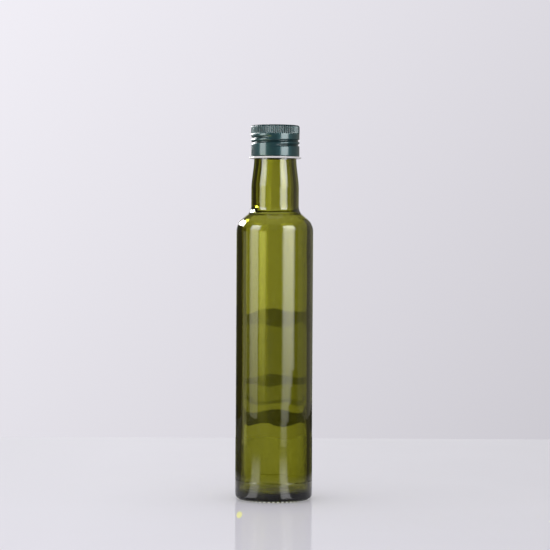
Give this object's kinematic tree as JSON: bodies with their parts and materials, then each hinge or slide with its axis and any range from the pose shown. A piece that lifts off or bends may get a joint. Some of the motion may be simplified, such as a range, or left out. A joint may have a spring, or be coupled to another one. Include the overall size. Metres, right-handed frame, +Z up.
{
  "type": "olive oil bottle",
  "caption": "Tall round olive oil bottle of green glass, empty, with a tapering neck, closed by a dark green lacquered aluminium screw cap on a pale sealing ring.",
  "frame": {"origin": "centre of the base, at the level of the surface that the bottle stands on", "axes": "+Z up along the bottle's axis, +X to the right and -Y towards the camera of the picture"},
  "size_m": [0.0502, 0.0502, 0.2431],
  "materials": {
    "green_glass": "clear olive-green glass, fire polished, with slight moulding waves",
    "white_plastic": "smooth white moulded plastic",
    "green_lacquer": "dark blue-green lacquer with a satin sheen on rolled aluminium"
  },
  "bodies": {
    "root": {"bottle_glass": "green_glass", "seal_ring": "white_plastic", "screw_cap": "green_lacquer"}
  },
  "joints": []
}
